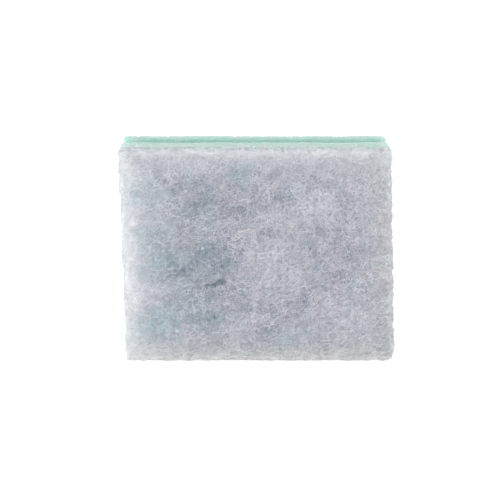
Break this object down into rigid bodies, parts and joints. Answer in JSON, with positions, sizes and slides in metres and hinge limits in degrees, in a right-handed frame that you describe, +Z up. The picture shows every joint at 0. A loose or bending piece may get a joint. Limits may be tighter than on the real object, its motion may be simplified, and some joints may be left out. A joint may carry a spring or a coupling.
{
  "type": "sponge scourer",
  "caption": "Hand-held sponge scourer: a foam block with a finger groove along each long side, faced with a non-scratch fleece pad.",
  "frame": {"origin": "on the surface that the sponge stands on, under the middle of its bounding box", "axes": "+X along the sponge's length, +Y towards the foam's back with the fleece facing -Y, +Z up"},
  "size_m": [0.11, 0.0379, 0.088],
  "materials": {
    "mint_foam": "matte open-celled polyurethane foam, mint green, fine pores",
    "white_fleece": "matte lofty non-woven polyester fleece, white, crimped fibres showing"
  },
  "bodies": {
    "root": {"foam_block": "mint_foam", "fleece_pad": "white_fleece"}
  },
  "joints": []
}
